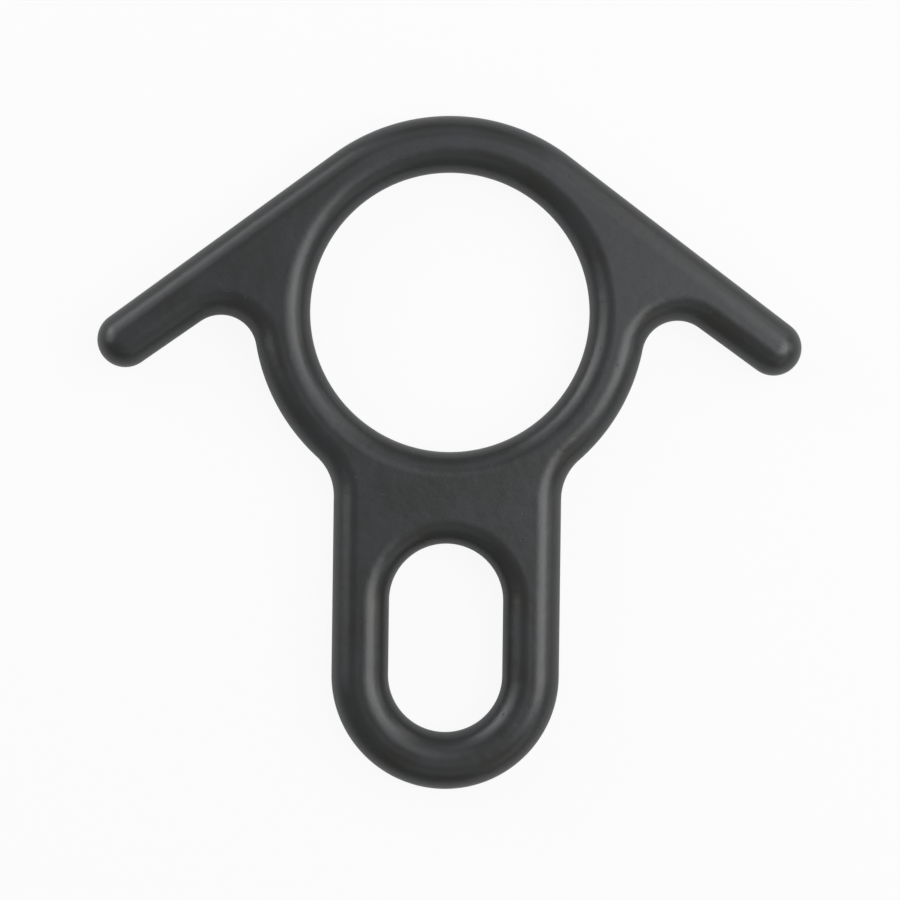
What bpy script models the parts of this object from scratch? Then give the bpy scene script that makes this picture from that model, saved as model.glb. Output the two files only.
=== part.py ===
"""Figure eight descender with ears: one forged and hard-anodised aluminium body.

The body lies flat on its back face. +X runs across the two ears, +Y runs from the
carabiner eye to the rope ring, and +Z is up through the thickness. The origin is
on the back face, under the centre of the body's outline box. Metres throughout.

Every stretch of the outline is a straight line or an arc, and each touches the next
at a tangent. The ears leave the ring's rim along its tangent, and two fillets lead
back from the ears to the ring and from the ring to the shank. One rounding runs
round the outer edge, the rope hole and the carabiner eye, front and back.
"""

import math

import bmesh
import bpy
from mathutils import Vector

# Driving dimensions of the section
THICKNESS = 0.0132
EDGE_RADIUS = 0.0064
LEAST_FLAT = 0.0002

# Driving dimensions of the rope ring
RING_HOLE_RADIUS = 0.0332
RING_STOCK = 0.0135

# Driving dimensions of the ears
EAR_SLOPE = math.radians(36.7)
EAR_TAPER = math.radians(1.3)
EAR_TIP_RADIUS = 0.0066
EAR_TIP_SPACING = 0.1542
CROTCH_FILLET_RADIUS = 0.0085

# Driving dimensions of the shank and the carabiner eye
WEB_HEIGHT = 0.0218
EYE_WIDTH = 0.0271
EYE_LENGTH = 0.0448
EYE_STOCK = 0.0135
NECK_FILLET_RADIUS = 0.0126

# Finish
ANODISED_GREY = (0.0260, 0.0265, 0.0262, 1.0)
ANODISED_ROUGHNESS = 0.38
ANODISED_METALLIC = 0.0

# Fineness of the solid
ARC_STEP = math.radians(6.5)
TIP_ARC_STEP = math.radians(12.0)
EDGE_STEPS = 4
WELD_DISTANCE = 0.00002

# Sizes that follow from the driving ones
RING_RIM_RADIUS = RING_HOLE_RADIUS + RING_STOCK
EYE_END_RADIUS = EYE_WIDTH / 2
SHANK_HALF_WIDTH = EYE_END_RADIUS + EYE_STOCK

# Directions of the right-hand ear, seen from the front
EAR_TOP_NORMAL = Vector((math.sin(EAR_SLOPE), math.cos(EAR_SLOPE)))
EAR_BASE_NORMAL = -Vector((math.sin(EAR_SLOPE - EAR_TAPER), math.cos(EAR_SLOPE - EAR_TAPER)))
EAR_BASE_ALONG = Vector((-EAR_BASE_NORMAL.y, EAR_BASE_NORMAL.x))

# Centres, measured from the centre of the rope ring
RING_CENTRE = Vector((0, 0))
EYE_TOP_CENTRE = Vector((0, -RING_HOLE_RADIUS - WEB_HEIGHT - EYE_END_RADIUS))
EYE_BASE_CENTRE = EYE_TOP_CENTRE - Vector((0, EYE_LENGTH - EYE_WIDTH))


def ear_tip_centre():
    """Centre of the right-hand tip: its circle touches the ear's upper edge from below."""
    across = EAR_TIP_SPACING / 2
    depth = RING_RIM_RADIUS - EAR_TIP_RADIUS
    return Vector((across, (depth - EAR_TOP_NORMAL.x * across) / EAR_TOP_NORMAL.y))


def crotch_centre():
    """Centre of the fillet that touches the ear's lower edge and the ring's rim."""
    below_ear = EAR_BASE_NORMAL.dot(ear_tip_centre()) + EAR_TIP_RADIUS + CROTCH_FILLET_RADIUS
    from_ring = RING_RIM_RADIUS + CROTCH_FILLET_RADIUS
    along_ear = math.sqrt(from_ring**2 - below_ear**2)
    return EAR_BASE_NORMAL * below_ear + EAR_BASE_ALONG * along_ear


def neck_centre():
    """Centre of the fillet that touches the ring's rim and the shank's side."""
    across = SHANK_HALF_WIDTH + NECK_FILLET_RADIUS
    from_ring = RING_RIM_RADIUS + NECK_FILLET_RADIUS
    return Vector((across, -math.sqrt(from_ring**2 - across**2)))


def angle_of(vector):
    return math.atan2(vector.y, vector.x)


def arc(centre, radius, start, end, step=ARC_STEP):
    """Points from angle start to angle end round a centre, both ends included."""
    count = max(1, round(abs(end - start) / step))
    angles = [start + (end - start) * i / count for i in range(count + 1)]
    return [centre + radius * Vector((math.cos(a), math.sin(a))) for a in angles]


def ear_tip():
    """The round end of the right-hand ear, with a point at its furthest reach."""
    upper = arc(ear_tip_centre(), EAR_TIP_RADIUS, angle_of(EAR_TOP_NORMAL), 0, TIP_ARC_STEP)
    lower = arc(ear_tip_centre(), EAR_TIP_RADIUS, 0, angle_of(EAR_BASE_NORMAL), TIP_ARC_STEP)
    return upper + lower


def right_half_outline():
    """The outline's right half, clockwise from the crown of the ring to the foot of the eye."""
    crotch = crotch_centre()
    neck = neck_centre()
    return (
        arc(RING_CENTRE, RING_RIM_RADIUS, math.pi / 2, angle_of(EAR_TOP_NORMAL))
        + ear_tip()
        + arc(crotch, CROTCH_FILLET_RADIUS, angle_of(-EAR_BASE_NORMAL), angle_of(-crotch))
        + arc(RING_CENTRE, RING_RIM_RADIUS, angle_of(crotch), angle_of(neck))
        + arc(neck, NECK_FILLET_RADIUS, angle_of(-neck), math.pi)
        + arc(EYE_BASE_CENTRE, SHANK_HALF_WIDTH, 0, -math.pi / 2)
    )


def without_repeats(points):
    """The closed loop without the points that two neighbouring stretches share."""
    kept = []
    for point in points:
        if not kept or (point - kept[-1]).length > WELD_DISTANCE:
            kept.append(point)
    return kept[:-1] if (kept[0] - kept[-1]).length < WELD_DISTANCE else kept


def outer_outline():
    right = right_half_outline()
    left = [Vector((-point.x, point.y)) for point in reversed(right)]
    return without_repeats(right + left)


def rope_hole():
    return without_repeats(arc(RING_CENTRE, RING_HOLE_RADIUS, 0, 2 * math.pi))


def carabiner_eye():
    upper = arc(EYE_TOP_CENTRE, EYE_END_RADIUS, 0, math.pi)
    lower = arc(EYE_BASE_CENTRE, EYE_END_RADIUS, math.pi, 2 * math.pi)
    return without_repeats(upper + lower)


def edge_radius():
    """The rounding of every edge, which leaves a narrow flat on the thinnest limb."""
    thinnest = min(THICKNESS, RING_STOCK, EYE_STOCK, 2 * EAR_TIP_RADIUS)
    return min(EDGE_RADIUS, (thinnest - LEAST_FLAT) / 2)


def outline_middle():
    """Half way between the crown of the ring and the foot of the eye."""
    heights = [point.y for point in outer_outline()]
    return Vector((0, (max(heights) + min(heights)) / 2))


def add_loop(curve, points):
    spline = curve.splines.new("POLY")
    spline.points.add(len(points) - 1)
    for target, point in zip(spline.points, points):
        target.co = (point.x, point.y, 0, 1)
    spline.use_cyclic_u = True


def rounded_plate(name, loops):
    """A flat curve of closed loops, filled, thickened and rounded at all its edges."""
    curve = bpy.data.curves.new(name, "CURVE")
    curve.dimensions = "2D"
    curve.fill_mode = "BOTH"
    curve.bevel_depth = edge_radius()
    curve.bevel_resolution = EDGE_STEPS
    curve.offset = -edge_radius()
    curve.extrude = THICKNESS / 2 - edge_radius()
    for loop in loops:
        add_loop(curve, loop)
    return bpy.data.objects.new(name, curve)


def closed_solid(plate, name, collection):
    """The plate as one closed mesh object, with its caps welded to its sides."""
    collection.objects.link(plate)
    bpy.context.view_layer.update()
    graph = bpy.context.evaluated_depsgraph_get()
    mesh = bpy.data.meshes.new_from_object(plate.evaluated_get(graph))
    mesh.name = name
    welded = bmesh.new()
    welded.from_mesh(mesh)
    bmesh.ops.remove_doubles(welded, verts=welded.verts, dist=WELD_DISTANCE)
    bmesh.ops.recalc_face_normals(welded, faces=welded.faces)
    welded.to_mesh(mesh)
    welded.free()
    mesh.shade_smooth()
    solid = bpy.data.objects.new(name, mesh)
    solid.matrix_world = plate.matrix_world
    collection.objects.link(solid)
    bpy.data.objects.remove(plate)
    return solid


def anodised_aluminium():
    material = bpy.data.materials.new("hard_anodised_grey")
    material.use_nodes = True
    shader = material.node_tree.nodes["Principled BSDF"]
    shader.inputs["Base Color"].default_value = ANODISED_GREY
    shader.inputs["Roughness"].default_value = ANODISED_ROUGHNESS
    shader.inputs["Metallic"].default_value = ANODISED_METALLIC
    material.diffuse_color = ANODISED_GREY
    return material


def clear_scene():
    for leftover in list(bpy.data.objects):
        bpy.data.objects.remove(leftover)


def main():
    clear_scene()
    collection = bpy.data.collections.new("figure_eight_descender")
    bpy.context.scene.collection.children.link(collection)
    middle = outline_middle()
    loops = [
        [point - middle for point in loop]
        for loop in (outer_outline(), rope_hole(), carabiner_eye())
    ]
    plate = rounded_plate("descender_outline", loops)
    plate.location.z = THICKNESS / 2
    body = closed_solid(plate, "descender_body", collection)
    body.data.materials.clear()
    body.data.materials.append(anodised_aluminium())


main()
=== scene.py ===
"""Finish, stage and camera for the forged figure eight descender, laid out as an add-on.

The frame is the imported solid. One fine surface stands for it, with the same outline and one
rounding at all its edges, and carries the hard-anodised finish. Metres throughout.
"""

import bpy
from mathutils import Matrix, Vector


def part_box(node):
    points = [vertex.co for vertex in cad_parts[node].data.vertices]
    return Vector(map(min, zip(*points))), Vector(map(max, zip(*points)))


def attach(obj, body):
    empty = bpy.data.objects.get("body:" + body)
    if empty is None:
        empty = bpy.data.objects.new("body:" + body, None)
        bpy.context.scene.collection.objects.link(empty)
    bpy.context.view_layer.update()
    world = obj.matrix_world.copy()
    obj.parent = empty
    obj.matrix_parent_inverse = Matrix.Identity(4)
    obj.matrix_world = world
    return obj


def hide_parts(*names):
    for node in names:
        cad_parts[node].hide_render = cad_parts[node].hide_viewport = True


bl_info = {
    "name": "Forged figure eight descender",
    "version": (1, 0, 0),
    "blender": (4, 5, 0),
    "location": "3D View > Sidebar > Descender",
    "description": "Builds the descender's forged surface, its anodised finish and a pale studio",
    "category": "Object",
}

import math
from dataclasses import dataclass

import bpy
import numpy as np
from bpy.props import FloatProperty, FloatVectorProperty, IntProperty, PointerProperty
from mathutils import Euler, Vector
from mathutils.geometry import delaunay_2d_cdt

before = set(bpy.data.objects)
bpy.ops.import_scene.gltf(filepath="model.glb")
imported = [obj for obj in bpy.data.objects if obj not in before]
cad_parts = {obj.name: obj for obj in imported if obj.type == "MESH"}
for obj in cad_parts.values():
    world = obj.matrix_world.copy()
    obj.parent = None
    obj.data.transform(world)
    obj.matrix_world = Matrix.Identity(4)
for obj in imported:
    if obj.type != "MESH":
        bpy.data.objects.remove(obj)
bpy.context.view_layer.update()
BODY_NODE = "descender_body"
BODY_LOW, BODY_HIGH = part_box(BODY_NODE)

# How the object stands in the photograph
PICTURE_SIDE_PX = 900
RING_CENTRE_PX = (449.87, 312.39)
PIXEL_SIZE = 0.0002378
OBJECT_TURN = math.radians(0.75)
SENSOR_WIDTH_MM = 36

# Fineness of the surface: the steps in an arc, and three lengths given in outline steps
LEAST_ARC_STEPS = 6
STRAIGHT_STEP = 2
FACE_SPACING = 4
SAME_POINT = 0.01

# Settings of Blender's triangulation
WHOLE_HULL = 0
TRIANGULATION_TOLERANCE = 1e-9

# Fineness of the noises, and the grain's share in the relief
GRAIN_DETAIL = 2
RIPPLE_DETAIL = 1
MOTTLE_DETAIL = 6
GRAIN_SHARE = 0.3

# Pits and specks: the share of points without one, and its floor and rim in point spacings
WITHOUT_PIT = 0.80
PIT_RADII = (0.06, 0.14)
WITHOUT_SPECK = 0.93
SPECK_RADII = (0.03, 0.08)

# Stretches of the mottle over which pits set in, the tone changes and the gloss changes
PITTED_MOTTLE = (0.50, 0.58)
TONE_MOTTLE = (0.35, 0.65)
GLOSS_MOTTLE = (0.3, 0.7)
GLOSS_CHANGE = 0.02

# Floor
FLOOR_ROUGHNESS = 0.9
FLOOR_SPECULAR = 0.1
FLOOR_SQUARES = 64
SWEEP_RISE = 0.35

WHITE = (1, 1, 1, 1)


class DescenderShape(bpy.types.PropertyGroup):
    """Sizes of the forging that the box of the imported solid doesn't give."""

    hole_radius: FloatProperty(
        name="Rope hole radius", description="Radius of the large rope hole",
        default=0.0332, min=0.001, unit="LENGTH", precision=4)
    ring_stock: FloatProperty(
        name="Ring stock", description="Width of the ring between its hole and its rim",
        default=0.0135, min=0.001, unit="LENGTH", precision=4)
    ear_slope: FloatProperty(
        name="Ear slope", description="Fall of the ears' upper edges from the level",
        default=math.radians(36.7), subtype="ANGLE")
    ear_taper: FloatProperty(
        name="Ear taper", description="Angle between the upper and lower edge of an ear",
        default=math.radians(1.3), subtype="ANGLE")
    ear_tip_radius: FloatProperty(
        name="Ear tip radius", description="Radius of an ear's round end",
        default=0.0066, min=0.001, unit="LENGTH", precision=4)
    crotch_fillet: FloatProperty(
        name="Crotch fillet", description="Radius between an ear's lower edge and the ring",
        default=0.0085, min=0.001, unit="LENGTH", precision=4)
    neck_fillet: FloatProperty(
        name="Neck fillet", description="Radius between the ring and the shank",
        default=0.0126, min=0.001, unit="LENGTH", precision=4)
    web_height: FloatProperty(
        name="Web height", description="Metal between the rope hole and the carabiner eye",
        default=0.0218, min=0.001, unit="LENGTH", precision=4)
    eye_width: FloatProperty(
        name="Eye width", description="Width of the carabiner eye",
        default=0.0271, min=0.001, unit="LENGTH", precision=4)
    eye_stock: FloatProperty(
        name="Eye stock", description="Width of the metal round the carabiner eye",
        default=0.0135, min=0.001, unit="LENGTH", precision=4)
    rounding: FloatProperty(
        name="Rounding", description="Reach of the rounded edge in from the outline",
        default=0.0061, min=0.001, unit="LENGTH", precision=4)
    flat_border: FloatProperty(
        name="Flat border", description="Flat strip that joins the rounding to the face",
        default=0.00007, min=0.00001, unit="LENGTH", precision=5)
    outline_step: FloatProperty(
        name="Outline step", description="Longest step between points along the outline's arcs",
        default=0.0008, min=0.0001, unit="LENGTH", precision=4)
    rounding_steps: IntProperty(
        name="Rounding steps", description="Steps round the edge from the front face to the back",
        default=36, min=8)


class DescenderFinish(bpy.types.PropertyGroup):
    """Colours and textures of the hard-anodised skin."""

    dark_skin: FloatVectorProperty(
        name="Dark skin", description="Darker tone of the anodised skin",
        default=(0.0244, 0.0249, 0.0229), size=3, subtype="COLOR", min=0, max=1)
    light_skin: FloatVectorProperty(
        name="Light skin", description="Lighter tone of the anodised skin",
        default=(0.0264, 0.0289, 0.0299), size=3, subtype="COLOR", min=0, max=1)
    speck_colour: FloatVectorProperty(
        name="Specks", description="Colour of the small spots where the skin is thin",
        default=(0.11, 0.11, 0.10), size=3, subtype="COLOR", min=0, max=1)
    # Painted shade: the near-black colour inside the small forging pits stands for the shade that
    # falls in them
    painted_pit_shade: FloatVectorProperty(
        name="Pits", description="Colour down in the small forging pits",
        default=(0.008, 0.008, 0.008), size=3, subtype="COLOR", min=0, max=1)
    roughness: FloatProperty(
        name="Roughness", description="Mean roughness of the skin",
        default=0.33, min=0, max=1, subtype="FACTOR")
    grain_size: FloatProperty(
        name="Grain size", description="Size of the fine grain that the tumbling leaves",
        default=0.0006, min=0.00005, unit="LENGTH", precision=5)
    ripple_size: FloatProperty(
        name="Ripple size", description="Size of the shallow waves that the forging leaves",
        default=0.0028, min=0.0005, unit="LENGTH", precision=4)
    mottle_size: FloatProperty(
        name="Mottle size", description="Size of the patches of lighter and darker skin",
        default=0.011, min=0.001, unit="LENGTH", precision=4)
    pit_spacing: FloatProperty(
        name="Pit spacing", description="Spacing of the points that may hold a pit or a speck",
        default=0.002, min=0.0005, unit="LENGTH", precision=4)
    relief: FloatProperty(
        name="Relief", description="Height of the grain and the waves together",
        default=0.00006, min=0, unit="LENGTH", precision=6)


class DescenderStudio(bpy.types.PropertyGroup):
    """Floor, room light and camera."""

    floor_colour: FloatVectorProperty(
        name="Floor", description="Colour of the floor",
        default=(0.64, 0.64, 0.64), size=3, subtype="COLOR", min=0, max=1)
    floor_glow: FloatProperty(
        name="Floor glow", description="Share of plain white in the floor that the camera sees",
        default=0.92, min=0, max=1, subtype="FACTOR")
    mirrored_glow: FloatProperty(
        name="Mirrored glow", description="Share of plain white in the floor that the skin mirrors",
        default=0.15, min=0, max=1, subtype="FACTOR")
    floor_reach: FloatProperty(
        name="Floor reach", description="From the object to the floor's edge",
        default=3.2, min=1, unit="LENGTH")
    sweep_start: FloatProperty(
        name="Sweep start", description="Where the floor begins to curve up",
        default=1.6, min=0.5, unit="LENGTH")
    room_strength: FloatProperty(
        name="Room light", description="Strength of the light from all round",
        default=0.15, min=0)
    camera_distance: FloatProperty(
        name="Camera distance", description="From the lens to the object's middle",
        default=0.7, min=0.1, unit="LENGTH")


def unit(angle):
    """Unit vectors at these angles, one a row."""
    return np.stack([np.cos(angle), np.sin(angle)], axis=-1)


def angle_of(vector):
    return math.atan2(vector[1], vector[0])


class Loop:
    """A closed line of arcs and straights that runs with the metal on its right.

    Each of its points has a normal, which points off the metal, to the left.
    """

    def __init__(self, step):
        self.step = step
        self.points = []
        self.normals = []

    def arc(self, centre, radius, start, end):
        """Adds centre + radius * (cos a, sin a) for a from start to end.

        On a clockwise arc the normal points away from the centre, and on others towards it.
        """
        count = max(LEAST_ARC_STEPS, math.ceil(abs(end - start) * radius / self.step))
        rays = unit(np.linspace(start, end, count + 1))
        points = centre + radius * rays
        normals = rays if end < start else -rays
        self.line_to(points[0], normals[0])
        self.points.append(points[1:])
        self.normals.append(normals[1:])

    def line_to(self, point, normal):
        """Adds points in even steps along the straight from the last point to this one."""
        if not self.points:
            self.points.append(point[None])
            self.normals.append(normal[None])
            return
        last = self.points[-1][-1]
        if self.same(last, point):
            return
        count = math.ceil(np.linalg.norm(point - last) / (STRAIGHT_STEP * self.step))
        share = np.linspace(0, 1, count + 1)[1:, None]
        self.points.append(last + share * (point - last))
        self.normals.append(np.repeat(normal[None], count, axis=0))

    def same(self, first, second):
        return np.linalg.norm(first - second) < SAME_POINT * self.step

    def arrays(self):
        """All points and all normals, without a last point that repeats the first."""
        points = np.concatenate(self.points)
        normals = np.concatenate(self.normals)
        if self.same(points[0], points[-1]):
            return points[:-1], normals[:-1]
        return points, normals


class Forging:
    """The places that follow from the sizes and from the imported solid's box."""

    def __init__(self, shape):
        self.shape = shape
        self.rim = shape.hole_radius + shape.ring_stock
        self.ring = np.array([0.0, BODY_HIGH.y - self.rim])
        self.eye_end = shape.eye_width / 2
        self.shank_half = self.eye_end + shape.eye_stock
        self.eye_base = np.array([0.0, BODY_LOW.y + self.shank_half])
        eye_top_y = self.ring[1] - shape.hole_radius - shape.web_height - self.eye_end
        self.eye_top = np.array([0.0, eye_top_y])
        self.ear_top_normal = unit(math.pi / 2 - shape.ear_slope)
        self.ear_base_normal = -unit(math.pi / 2 - shape.ear_slope + shape.ear_taper)
        self.tip = self.ring + self.tip_from_ring()
        self.crotch = self.ring + self.crotch_from_ring()
        self.neck = self.ring + self.neck_from_ring()

    def tip_from_ring(self):
        """The tip circle touches the box's side and the ear's upper edge, a tangent of the rim."""
        across = BODY_HIGH.x - self.shape.ear_tip_radius
        depth = self.rim - self.shape.ear_tip_radius
        normal = self.ear_top_normal
        return np.array([across, (depth - normal[0] * across) / normal[1]])

    def crotch_from_ring(self):
        """The fillet's centre is its radius off the ear's lower edge and off the rim."""
        normal = self.ear_base_normal
        along = np.array([-normal[1], normal[0]])
        fillet = self.shape.crotch_fillet
        below = normal @ self.tip_from_ring() + self.shape.ear_tip_radius + fillet
        return normal * below + along * math.sqrt((self.rim + fillet) ** 2 - below**2)

    def neck_from_ring(self):
        """The fillet's centre is its radius off the shank's side and off the rim."""
        across = self.shank_half + self.shape.neck_fillet
        from_ring = self.rim + self.shape.neck_fillet
        return np.array([across, -math.sqrt(from_ring**2 - across**2)])

    def outer_loop(self):
        """The right half clockwise from the ring's crown, then the same mirrored."""
        ear_top = angle_of(self.ear_top_normal)
        ear_base = angle_of(self.ear_base_normal)
        to_crotch = self.crotch - self.ring
        to_neck = self.neck - self.ring
        half = Loop(self.shape.outline_step)
        half.arc(self.ring, self.rim, math.pi / 2, ear_top)
        half.arc(self.tip, self.shape.ear_tip_radius, ear_top, ear_base)
        half.arc(self.crotch, self.shape.crotch_fillet, ear_base + math.pi, angle_of(-to_crotch))
        half.arc(self.ring, self.rim, angle_of(to_crotch), angle_of(to_neck))
        half.arc(self.neck, self.shape.neck_fillet, angle_of(-to_neck), math.pi)
        half.arc(self.eye_base, self.shank_half, 0, -math.pi / 2)
        flip = np.array([-1.0, 1.0])
        return [np.concatenate([right, right[-2:0:-1] * flip]) for right in half.arrays()]

    def hole_loop(self):
        loop = Loop(self.shape.outline_step)
        loop.arc(self.ring, self.shape.hole_radius, 0, 2 * math.pi)
        return loop.arrays()

    def eye_loop(self):
        loop = Loop(self.shape.outline_step)
        loop.arc(self.eye_top, self.eye_end, 0, math.pi)
        loop.arc(self.eye_base, self.eye_end, math.pi, 2 * math.pi)
        loop.line_to(loop.points[0][0], loop.normals[0][0])
        return loop.arrays()


def edge_profile(shape):
    """The rounded edge as (inward distance, height), from the front rim over to the back rim.

    An ellipse: with a the reach, b half the thickness and t from 0 to pi, the distance in is
    a - a * sin(t), and the height above the back face is b + b * cos(t).
    """
    turn = np.linspace(0, math.pi, shape.rounding_steps + 1)
    half_thickness = (BODY_HIGH.z - BODY_LOW.z) / 2
    inward = shape.rounding * (1 - np.sin(turn))
    height = half_thickness * (1 + np.cos(turn)) + BODY_LOW.z
    last = shape.rounding + shape.flat_border
    return np.pad(inward, 1, constant_values=last), np.pad(height, 1, "edge")


def swept_edge(points, normals, inward, height):
    """The profile carried along a loop: point (s, t) is P(s) - N(s) * inward(t), at height(t)."""
    flat = points[:, None] - normals[:, None] * inward[None, :, None]
    heights = np.broadcast_to(height[None, :, None], flat.shape[:2] + (1,))
    return np.concatenate([flat, heights], axis=2)


def sweep_faces(numbers):
    """Quads of a closed sweep, from the grid of its points' numbers with one station a row."""
    following = np.roll(numbers, -1, axis=0)
    quads = np.stack([following[:, :-1], following[:, 1:], numbers[:, 1:], numbers[:, :-1]],
                     axis=-1)
    return quads.reshape(-1, 4)


def times_round(points, loop):
    """How often a loop runs round each point: the angles of its sides, added up, over 360."""
    start = loop[None] - points[:, None]
    end = np.roll(start, -1, axis=1)
    cross = start[..., 0] * end[..., 1] - start[..., 1] * end[..., 0]
    return np.round(np.arctan2(cross, (start * end).sum(axis=2)).sum(axis=1) / (2 * math.pi))


def on_metal(points, rims):
    """Whether an odd number of the rims runs round each point."""
    return sum(np.abs(times_round(points, rim)) for rim in rims) % 2 == 1


def hexagonal_lattice(low, high, spacing):
    """Points in rows, spacing apart, with every second row moved on by half a space."""
    rows = np.arange(low[1], high[1], spacing * math.sqrt(3) / 2)
    across, up = np.meshgrid(np.arange(low[0], high[0], spacing), rows)
    across = across + (np.arange(len(rows)) % 2)[:, None] * spacing / 2
    return np.stack([across.ravel(), up.ravel()], axis=1)


def single_precision(points):
    """The points as the triangulation sees them, so that the inside test gets the same ones."""
    return points.astype(np.float32).astype(float)


def lattice_on_metal(rims, spacing):
    """Lattice points between the rims that keep half a space from the rims' own points."""
    rim_points = np.concatenate(rims)
    lattice = hexagonal_lattice(rim_points.min(axis=0), rim_points.max(axis=0), spacing)
    lattice = single_precision(lattice)
    gaps = np.linalg.norm(lattice[:, None] - rim_points[None], axis=2).min(axis=1)
    return lattice[(gaps > spacing / 2) & on_metal(lattice, rims)]


def rim_sides(rims):
    """Pairs of neighbouring points round each rim, numbered on from rim to rim."""
    sides = []
    first = 0
    for rim in rims:
        index = np.arange(len(rim))
        sides.append(first + np.stack([index, (index + 1) % len(rim)], axis=1))
        first += len(rim)
    return np.concatenate(sides)


def face_triangles(rims, spacing):
    """A lattice between the rims, and the flat face's triangles over the rims' points and it."""
    rims = [single_precision(rim) for rim in rims]
    lattice = lattice_on_metal(rims, spacing)
    everything = np.concatenate([*rims, lattice])
    found = delaunay_2d_cdt([Vector(point) for point in everything], rim_sides(rims).tolist(), [],
                            WHOLE_HULL, TRIANGULATION_TOLERANCE, True)
    order = np.array([numbers[0] for numbers in found[3]])
    triangles = order[np.array(found[2])]
    return lattice, triangles[on_metal(everything[triangles].mean(axis=1), rims)]


class Skin:
    """The points of a surface that grows by grids of points."""

    def __init__(self):
        self.points = []
        self.count = 0

    def add(self, grid):
        """Adds a grid of points and gives the grid of their numbers."""
        numbers = self.count + np.arange(grid[..., 0].size).reshape(grid.shape[:-1])
        self.points.append(grid.reshape(-1, 3))
        self.count += numbers.size
        return numbers

    def add_face(self, rims, lattice, level, triangles):
        """Adds the lattice at a level. Gives the triangles between it and the numbered rims."""
        inner = self.add(np.column_stack([lattice, np.full(len(lattice), level)]))
        return np.concatenate([*rims, inner])[triangles]


def mesh_from(name, points, quads, triangles):
    """A mesh from whole arrays of points, quads and triangles."""
    mesh = bpy.data.meshes.new(name)
    corners = np.concatenate([quads.ravel(), triangles.ravel()])
    starts = np.concatenate([np.arange(len(quads)) * 4,
                             len(quads) * 4 + np.arange(len(triangles)) * 3])
    mesh.vertices.add(len(points))
    mesh.vertices.foreach_set("co", points.astype(np.float32).ravel())
    mesh.loops.add(len(corners))
    mesh.loops.foreach_set("vertex_index", corners.astype(np.int32))
    mesh.polygons.add(len(starts))
    mesh.polygons.foreach_set("loop_start", starts.astype(np.int32))
    mesh.update(calc_edges=True)
    mesh.validate()
    mesh.shade_smooth()
    return mesh


def forged_surface(shape):
    """The whole skin: three swept edges, and the front and back faces that join their rims."""
    forging = Forging(shape)
    inward, height = edge_profile(shape)
    loops = (forging.outer_loop(), forging.hole_loop(), forging.eye_loop())
    edges = [swept_edge(points, normals, inward, height) for points, normals in loops]
    skin = Skin()
    grids = [skin.add(edge) for edge in edges]
    quads = np.concatenate([sweep_faces(grid) for grid in grids])
    front_rims = [edge[:, 0, :2] for edge in edges]
    lattice, triangles = face_triangles(front_rims, FACE_SPACING * shape.outline_step)
    front = skin.add_face([grid[:, 0] for grid in grids], lattice, height[0], triangles)
    back = skin.add_face([grid[:, -1] for grid in grids], lattice, height[-1], triangles)
    faces = np.concatenate([front, back[:, ::-1]])
    return mesh_from("forged_skin", np.concatenate(skin.points), quads, faces)


def add_node(tree, kind, feeds=None, **settings):
    """A node with its settings. feeds gives an input its value, or the output that drives it."""
    node = tree.nodes.new(kind)
    for name, value in settings.items():
        setattr(node, name, value)
    for name, source in (feeds or {}).items():
        if isinstance(source, bpy.types.NodeSocket):
            tree.links.new(source, node.inputs[name])
        else:
            node.inputs[name].default_value = source
    return node


def arithmetic(tree, operation, first, second):
    return add_node(tree, "ShaderNodeMath", {0: first, 1: second}, operation=operation).outputs[0]


def noise(tree, vector, scale, detail):
    feeds = {"Vector": vector, "Scale": scale, "Detail": detail}
    return add_node(tree, "ShaderNodeTexNoise", feeds).outputs["Fac"]


def ramp(tree, value, low, high, start=0.0, end=1.0):
    """A smooth change from start, where value is low, to end, where it is high."""
    feeds = {"Value": value, "From Min": low, "From Max": high, "To Min": start, "To Max": end}
    node = add_node(tree, "ShaderNodeMapRange", feeds, interpolation_type="SMOOTHSTEP")
    return node.outputs["Result"]


def blend_colours(tree, share, first, second):
    """The first colour, going over to the second as share goes from 0 to 1."""
    node = tree.nodes.new("ShaderNodeMix")
    node.data_type = "RGBA"
    for name, source in (("Factor", share), ("A", first), ("B", second)):
        socket = next(s for s in node.inputs if s.name == name and s.enabled)
        if isinstance(source, bpy.types.NodeSocket):
            tree.links.new(source, socket)
        else:
            socket.default_value = (*source, 1)
    return next(s for s in node.outputs if s.enabled)


def scattered_spots(tree, distance, chance, without, radii):
    """Round spots at a few points: 1 up to the first radius, and 0 from the second one on."""
    there = arithmetic(tree, "GREATER_THAN", chance, without)
    return arithmetic(tree, "MULTIPLY", ramp(tree, distance, *radii, 1, 0), there)


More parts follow.
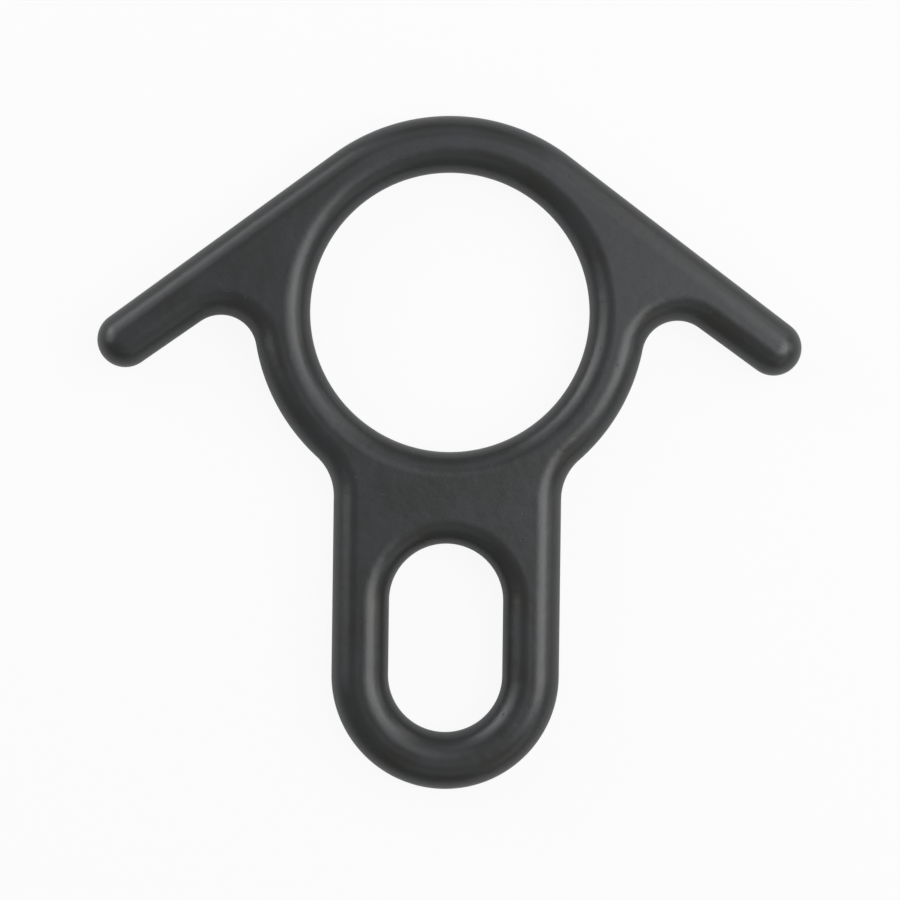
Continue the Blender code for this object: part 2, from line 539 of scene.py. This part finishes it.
def forged_marks_group():
    """Masks for the marks of forging and tumbling, at sizes given as features per metre.

    Grain and Ripple are noises. Pits and Specks are small balls round scattered points, cut by
    the surface, and only a few of the points have one. Pits keep to patches. The Pits mask dents
    the relief, and the skin also uses it to paint shade into the pits.
    """
    tree = bpy.data.node_groups.new("forged_marks", "ShaderNodeTree")
    tree.interface.new_socket("Vector", in_out="INPUT", socket_type="NodeSocketVector")
    for name in ("Grain", "Ripple", "Mottle", "Pits"):
        tree.interface.new_socket(name, in_out="INPUT", socket_type="NodeSocketFloat")
    for name in ("Relief", "Mottle", "Pits", "Specks"):
        tree.interface.new_socket(name, in_out="OUTPUT", socket_type="NodeSocketFloat")
    given = tree.nodes.new("NodeGroupInput").outputs
    result = tree.nodes.new("NodeGroupOutput").inputs
    vector = given["Vector"]
    grain = noise(tree, vector, given["Grain"], GRAIN_DETAIL)
    ripple = noise(tree, vector, given["Ripple"], RIPPLE_DETAIL)
    mottle = noise(tree, vector, given["Mottle"], MOTTLE_DETAIL)
    points = add_node(tree, "ShaderNodeTexVoronoi", {"Vector": vector, "Scale": given["Pits"]})
    chance = add_node(tree, "ShaderNodeSeparateColor", {"Color": points.outputs["Color"]})
    distance = points.outputs["Distance"]
    pit_dent_and_shade = scattered_spots(tree, distance, chance.outputs["Red"], WITHOUT_PIT, PIT_RADII)
    pit_dent_and_shade = arithmetic(tree, "MULTIPLY", pit_dent_and_shade, ramp(tree, mottle, *PITTED_MOTTLE))
    speck = scattered_spots(tree, distance, chance.outputs["Green"], WITHOUT_SPECK, SPECK_RADII)
    relief = arithmetic(tree, "ADD", arithmetic(tree, "MULTIPLY", grain, GRAIN_SHARE), ripple)
    relief = arithmetic(tree, "SUBTRACT", relief, pit_dent_and_shade)
    for name, output in (("Relief", relief), ("Mottle", mottle), ("Pits", pit_dent_and_shade), ("Specks", speck)):
        tree.links.new(output, result[name])
    return tree


def anodised_skin(finish):
    """Satin hard-anodised grey: mottled tone and gloss, fine relief, few pits and specks."""
    material = bpy.data.materials.new("hard_anodised_skin")
    material.use_nodes = True
    tree = material.node_tree
    shader = tree.nodes["Principled BSDF"]
    place = add_node(tree, "ShaderNodeTexCoord").outputs["Object"]
    feeds = {"Vector": place, "Grain": 1 / finish.grain_size, "Ripple": 1 / finish.ripple_size,
             "Mottle": 1 / finish.mottle_size, "Pits": 1 / finish.pit_spacing}
    marks = add_node(tree, "ShaderNodeGroup", feeds, node_tree=forged_marks_group()).outputs
    tone = ramp(tree, marks["Mottle"], *TONE_MOTTLE)
    colour = blend_colours(tree, tone, finish.dark_skin, finish.light_skin)
    # Painted shade: the pits are darkened nearly to black to stand for the shade in them
    colour = blend_colours(tree, marks["Pits"], colour, finish.painted_pit_shade)
    colour = blend_colours(tree, marks["Specks"], colour, finish.speck_colour)
    tree.links.new(colour, shader.inputs["Base Color"])
    gloss = ramp(tree, marks["Mottle"], *GLOSS_MOTTLE,
                 finish.roughness - GLOSS_CHANGE, finish.roughness + GLOSS_CHANGE)
    tree.links.new(gloss, shader.inputs["Roughness"])
    feeds = {"Height": marks["Relief"], "Distance": finish.relief, "Strength": 1.0}
    bump = add_node(tree, "ShaderNodeBump", feeds)
    tree.links.new(bump.outputs["Normal"], shader.inputs["Normal"])
    return material


class DESCENDER_OT_forged_body(bpy.types.Operator):
    """Build the forged body's fine surface with its anodised skin"""

    bl_idname = "descender.forged_body"
    bl_label = "Forged body"

    def execute(self, context):
        mesh = forged_surface(context.scene.descender_shape)
        mesh.materials.append(anodised_skin(context.scene.descender_finish))
        body = bpy.data.objects.new("forged_body", mesh)
        context.scene.collection.objects.link(body)
        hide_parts(BODY_NODE)
        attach(body, "root")
        return {"FINISHED"}


def aim_camera(scene, studio, shape):
    """A long lens straight above the object, turned so that it stands as in the photograph."""
    right = np.array([math.cos(OBJECT_TURN), math.sin(OBJECT_TURN)])
    up = np.array([-right[1], right[0]])
    ring = np.array([0.0, BODY_HIGH.y - shape.hole_radius - shape.ring_stock])
    across_px = RING_CENTRE_PX[0] - PICTURE_SIDE_PX / 2
    above_px = PICTURE_SIDE_PX / 2 - RING_CENTRE_PX[1]
    target = ring - (across_px * right + above_px * up) * PIXEL_SIZE
    level = (BODY_LOW.z + BODY_HIGH.z) / 2
    data = bpy.data.cameras.new("camera")
    data.sensor_width = SENSOR_WIDTH_MM
    data.lens = SENSOR_WIDTH_MM * studio.camera_distance / (PICTURE_SIDE_PX * PIXEL_SIZE)
    camera = bpy.data.objects.new("camera", data)
    camera.location = (target[0], target[1], level + studio.camera_distance)
    camera.rotation_euler = Euler((0, 0, OBJECT_TURN))
    scene.collection.objects.link(camera)
    scene.camera = camera


def floor_material(studio):
    """Matt pale floor. Rays that see it get a share of plain white, and its shadows stay."""
    material = bpy.data.materials.new("pale_floor")
    material.use_nodes = True
    tree = material.node_tree
    shader = tree.nodes["Principled BSDF"]
    shader.inputs["Base Color"].default_value = (*studio.floor_colour, 1)
    shader.inputs["Roughness"].default_value = FLOOR_ROUGHNESS
    shader.inputs["Specular IOR Level"].default_value = FLOOR_SPECULAR
    glow = add_node(tree, "ShaderNodeEmission", {"Color": WHITE, "Strength": 1.0})
    rays = add_node(tree, "ShaderNodeLightPath").outputs
    mirrored = arithmetic(tree, "MAXIMUM", rays["Is Glossy Ray"], rays["Is Transmission Ray"])
    mirrored = arithmetic(tree, "MULTIPLY", mirrored, studio.mirrored_glow)
    seen = arithmetic(tree, "MULTIPLY", rays["Is Camera Ray"], studio.floor_glow)
    share = arithmetic(tree, "MAXIMUM", seen, mirrored)
    feeds = {0: share, 1: shader.outputs["BSDF"], 2: glow.outputs["Emission"]}
    mix = add_node(tree, "ShaderNodeMixShader", feeds)
    tree.links.new(mix.outputs["Shader"], tree.nodes["Material Output"].inputs["Surface"])
    return material


def floor_mesh(studio):
    """A square sheet: level out to the sweep's start, then up by the square of the way beyond.

    Height is SWEEP_RISE * max(0, r - start)**2 in metres, with r the distance from the middle.
    """
    along = np.linspace(-studio.floor_reach, studio.floor_reach, FLOOR_SQUARES + 1)
    x, y = np.meshgrid(along, along)
    beyond = (np.hypot(x, y) - studio.sweep_start).clip(0)
    points = np.stack([x, y, SWEEP_RISE * beyond**2], axis=-1).reshape(-1, 3)
    numbers = np.arange(len(points)).reshape(x.shape)
    quads = np.stack([numbers[:-1, :-1], numbers[:-1, 1:], numbers[1:, 1:], numbers[1:, :-1]],
                     axis=-1)
    return mesh_from("floor", points, quads.reshape(-1, 4), np.empty((0, 3), int))


def lay_floor(scene, studio):
    mesh = floor_mesh(studio)
    mesh.materials.append(floor_material(studio))
    floor = bpy.data.objects.new("floor", mesh)
    scene.collection.objects.link(floor)


@dataclass
class Softbox:
    """A rectangular lamp. Its direction is seen from the object, in degrees, sizes in metres."""

    name: str
    azimuth: float
    elevation: float
    radiance: float
    distance: float = 0.8
    width: float = 0.3
    height: float = 0.3
    colour: tuple = (1, 1, 1)

    def hang(self, scene):
        """The lamp's power is radiance * pi * area, and it faces the object."""
        data = bpy.data.lights.new(self.name, "AREA")
        data.shape = "RECTANGLE"
        data.size = self.width
        data.size_y = self.height
        data.energy = self.radiance * math.pi * self.width * self.height
        data.color = self.colour
        lamp = bpy.data.objects.new(self.name, data)
        turn = math.radians(self.azimuth)
        rise = math.radians(self.elevation)
        level = math.cos(rise)
        towards = Vector((math.cos(turn) * level, math.sin(turn) * level, math.sin(rise)))
        lamp.location = towards * self.distance
        lamp.rotation_euler = towards.to_track_quat("Z", "Y").to_euler()
        lamp.visible_camera = False
        scene.collection.objects.link(lamp)


# Each lamp stands where a bright or cool band on the photographed roundings calls for it
SOFTBOXES = (
    Softbox("right_key", azimuth=-14, elevation=62, radiance=4.1, width=0.32, height=0.26),
    Softbox("right_low", azimuth=-14, elevation=44, radiance=3.1, width=0.32, height=0.26),
    Softbox("right_mid", azimuth=10, elevation=44, radiance=3.65, width=0.32, height=0.26),
    Softbox("right_back", azimuth=34, elevation=49, radiance=2.1, width=0.32, height=0.39),
    Softbox("right_fill", azimuth=5, elevation=21, radiance=1.4, width=0.36, height=0.34),
    Softbox("left_key", azimuth=152, elevation=19, radiance=4.4, height=0.28),
    Softbox("left_high", azimuth=152, elevation=39, radiance=1.9, height=0.28),
    Softbox("left_side", azimuth=174, elevation=29, radiance=1.6, height=0.56),
    Softbox("left_back", azimuth=130, elevation=19, radiance=2.6, height=0.28,
            colour=(0.96, 1.0, 1.04)),
    Softbox("left_back_high", azimuth=130, elevation=39, radiance=0.75, height=0.28,
            colour=(0.88, 0.99, 1.13)),
    Softbox("back", azimuth=48, elevation=25, radiance=1.3, width=0.34, height=0.54),
    Softbox("back_high", azimuth=95, elevation=40, radiance=0.5, width=0.5, height=0.4,
            colour=(0.96, 1.0, 1.04)),
    Softbox("top_right", azimuth=0, elevation=76, radiance=0.8, width=0.36),
    Softbox("top_back", azimuth=60, elevation=72, radiance=0.95, width=0.40, height=0.36,
            colour=(0.90, 0.97, 1.13)),
    Softbox("front", azimuth=-90, elevation=45, radiance=0.4, width=0.5,
            colour=(1.06, 1.01, 0.93)),
    Softbox("front_right", azimuth=-50, elevation=25, radiance=0.7, width=0.5,
            colour=(1.04, 1.02, 0.94)),
)


def room_light(scene, studio):
    world = bpy.data.worlds.new("room")
    world.use_nodes = True
    background = world.node_tree.nodes["Background"]
    background.inputs["Color"].default_value = WHITE
    background.inputs["Strength"].default_value = studio.room_strength
    scene.world = world


class DESCENDER_OT_studio(bpy.types.Operator):
    """Lay the pale floor, hang the softboxes and set the camera"""

    bl_idname = "descender.studio"
    bl_label = "Studio"

    def execute(self, context):
        scene = context.scene
        studio = scene.descender_studio
        lay_floor(scene, studio)
        room_light(scene, studio)
        for softbox in SOFTBOXES:
            softbox.hang(scene)
        aim_camera(scene, studio, scene.descender_shape)
        scene.view_settings.view_transform = "Standard"
        return {"FINISHED"}


class DESCENDER_PT_panel(bpy.types.Panel):
    """Sizes, finish and studio of the descender, with a button for each step"""

    bl_label = "Forged descender"
    bl_idname = "DESCENDER_PT_panel"
    bl_space_type = "VIEW_3D"
    bl_region_type = "UI"
    bl_category = "Descender"

    def draw(self, context):
        groups = ((context.scene.descender_shape, DESCENDER_OT_forged_body),
                  (context.scene.descender_finish, None),
                  (context.scene.descender_studio, DESCENDER_OT_studio))
        for group, operator in groups:
            box = self.layout.box()
            for name in group.__annotations__:
                box.prop(group, name)
            if operator:
                box.operator(operator.bl_idname)


CLASSES = (
    DescenderShape,
    DescenderFinish,
    DescenderStudio,
    DESCENDER_OT_forged_body,
    DESCENDER_OT_studio,
    DESCENDER_PT_panel,
)


def register():
    for cls in CLASSES:
        bpy.utils.register_class(cls)
    bpy.types.Scene.descender_shape = PointerProperty(type=DescenderShape)
    bpy.types.Scene.descender_finish = PointerProperty(type=DescenderFinish)
    bpy.types.Scene.descender_studio = PointerProperty(type=DescenderStudio)


def unregister():
    del bpy.types.Scene.descender_studio
    del bpy.types.Scene.descender_finish
    del bpy.types.Scene.descender_shape
    for cls in reversed(CLASSES):
        bpy.utils.unregister_class(cls)


def main():
    register()
    bpy.ops.descender.forged_body()
    bpy.ops.descender.studio()


if __name__ == "__main__":
    main()
